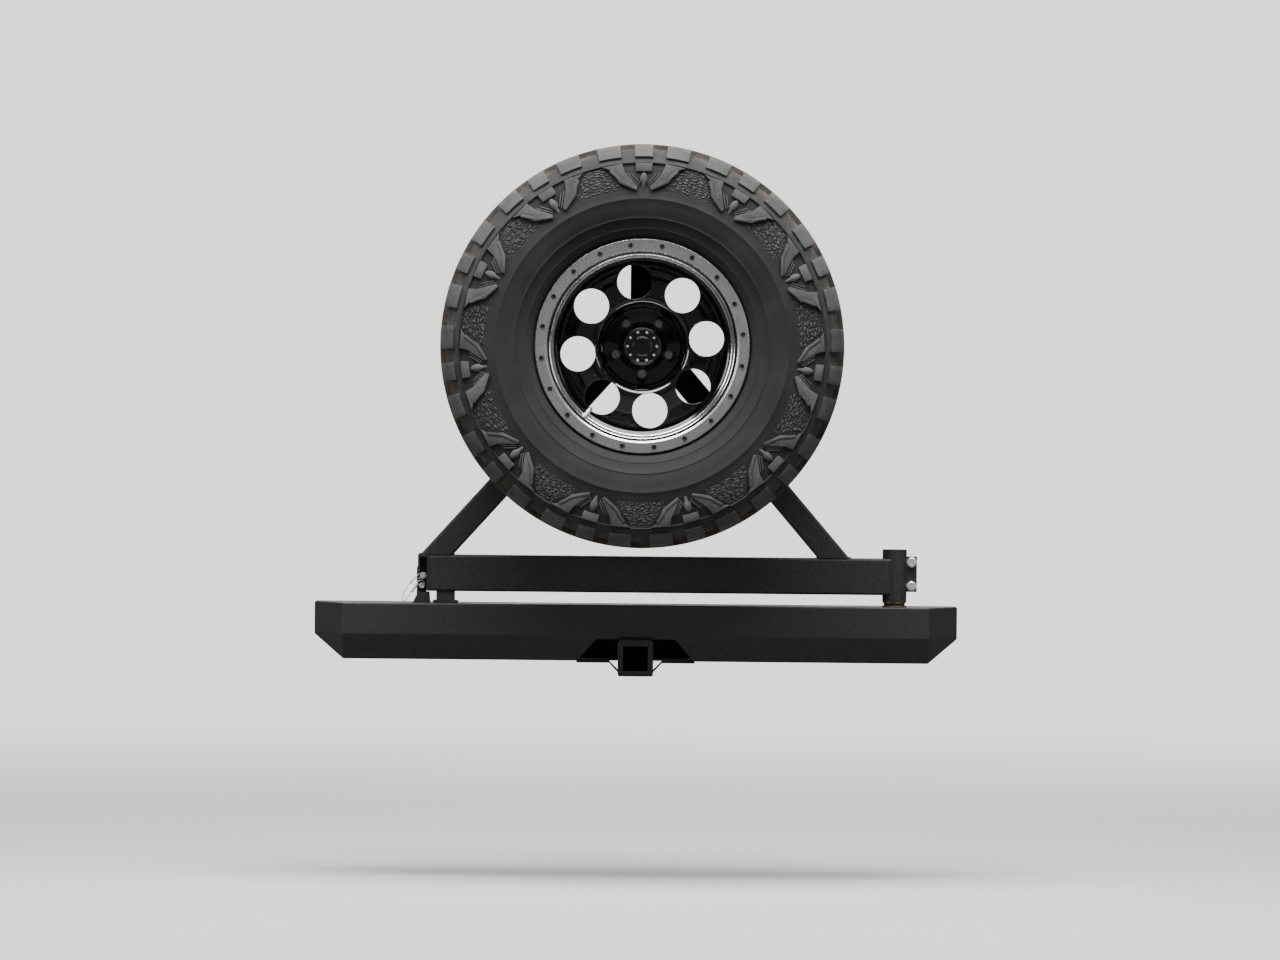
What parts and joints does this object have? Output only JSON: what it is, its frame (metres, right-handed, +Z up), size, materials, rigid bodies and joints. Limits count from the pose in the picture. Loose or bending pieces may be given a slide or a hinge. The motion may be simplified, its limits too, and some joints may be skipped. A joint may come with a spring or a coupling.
{
  "type": "spare tire carrier",
  "caption": "Steel rear bumper with a hinged swing-out gate that carries a full-size spare wheel behind a 4x4, locked by a tethered pin.",
  "frame": {"origin": "middle of the outer frame bolt pattern, on the plane where the bumper's brackets meet the vehicle frame", "axes": "+X across the vehicle towards the gate's hinge, +Y forwards into the vehicle, +Z up"},
  "size_m": [1.348, 0.4399, 1.1015],
  "materials": {
    "powder_coat": "textured black powder coat over steel",
    "zinc_plate": "zinc plated steel",
    "steel_cable": "clear coated stranded steel cable",
    "bare_steel": "ground and greased steel",
    "bronze": "bearing bronze",
    "rest_rubber": "moulded black rubber",
    "black_plastic": "matt black plastic",
    "tire_rubber": "dry black tread rubber with a trace of dust",
    "wheel_black": "gloss black coat over cast aluminium",
    "machined_aluminium": "machined bright aluminium",
    "black_fasteners": "black oxide steel",
    "valve_metal": "nickel plated valve"
  },
  "bodies": {
    "bumper": {"bumper_shell": "powder_coat", "left_chin": "powder_coat", "right_chin": "powder_coat", "bumper_floor": "powder_coat", "left_wing": "powder_coat", "right_wing": "powder_coat", "left_frame_bracket": "powder_coat", "right_frame_bracket": "powder_coat", "receiver_tube": "powder_coat", "receiver_collar": "powder_coat", "receiver_strap": "powder_coat", "receiver_back_plate": "powder_coat", "spindle_doubler": "powder_coat", "spindle_boss": "powder_coat", "hinge_spindle": "bare_steel", "thrust_washer": "bronze", "spindle_washer": "zinc_plate", "spindle_nut": "zinc_plate", "spindle_cotter": "zinc_plate", "latch_bracket": "powder_coat", "rest_bracket": "powder_coat", "rest_pad": "rest_rubber", "rest_screws": "zinc_plate"},
    "swing_gate": {"hinge_housing": "powder_coat", "lower_bush": "bronze", "upper_bush": "bronze", "hinge_cap": "powder_coat", "grease_nipple": "zinc_plate", "clamp_bolts": "zinc_plate", "clamp_nuts": "zinc_plate", "gate_beam": "powder_coat", "beam_end_plate": "powder_coat", "latch_channel": "powder_coat", "left_brace": "powder_coat", "right_brace": "powder_coat", "mast": "powder_coat", "mast_cap": "black_plastic", "mast_foot": "powder_coat", "mast_flange": "powder_coat", "standoff_flange": "powder_coat", "standoff_tube": "powder_coat", "stud_plate": "powder_coat", "flange_bolts": "zinc_plate", "wheel_studs": "zinc_plate", "lanyard_screw": "zinc_plate", "lanyard": "steel_cable", "lanyard_ferrules": "zinc_plate"},
    "latch_pin": {"latch_pin": "zinc_plate", "pin_handle": "zinc_plate"},
    "lock_button": {"pin_button": "zinc_plate"},
    "spare_wheel": {"tire": "tire_rubber", "rim_barrel": "wheel_black", "rim_disc": "wheel_black", "lip_ring": "machined_aluminium", "ring_bolts": "black_fasteners", "centre_cap": "wheel_black", "cap_screws": "zinc_plate", "lug_nuts": "black_fasteners", "valve_stem": "valve_metal", "valve_cap": "valve_metal"}
  },
  "joints": [
    {"name": "gate_swing", "type": "hinge", "parent": "bumper", "child": "swing_gate", "pos_m": [0.54, -0.095, 0.12], "axis": [0, 0, 1], "range_deg": [0, 110]},
    {"name": "latch_pin_pull", "type": "slide", "parent": "swing_gate", "child": "latch_pin", "axis": [0, -1, 0], "range_m": [0, 0.06]},
    {"name": "button_press", "type": "slide", "parent": "latch_pin", "child": "lock_button", "axis": [0, 1, 0], "range_m": [0, 0.0028], "stiffness_N_per_m": 700, "springref_m": -0.004},
    {"name": "wheel_lift_off", "type": "slide", "parent": "swing_gate", "child": "spare_wheel", "axis": [0, -1, 0], "range_m": [0, 0.25]}
  ]
}
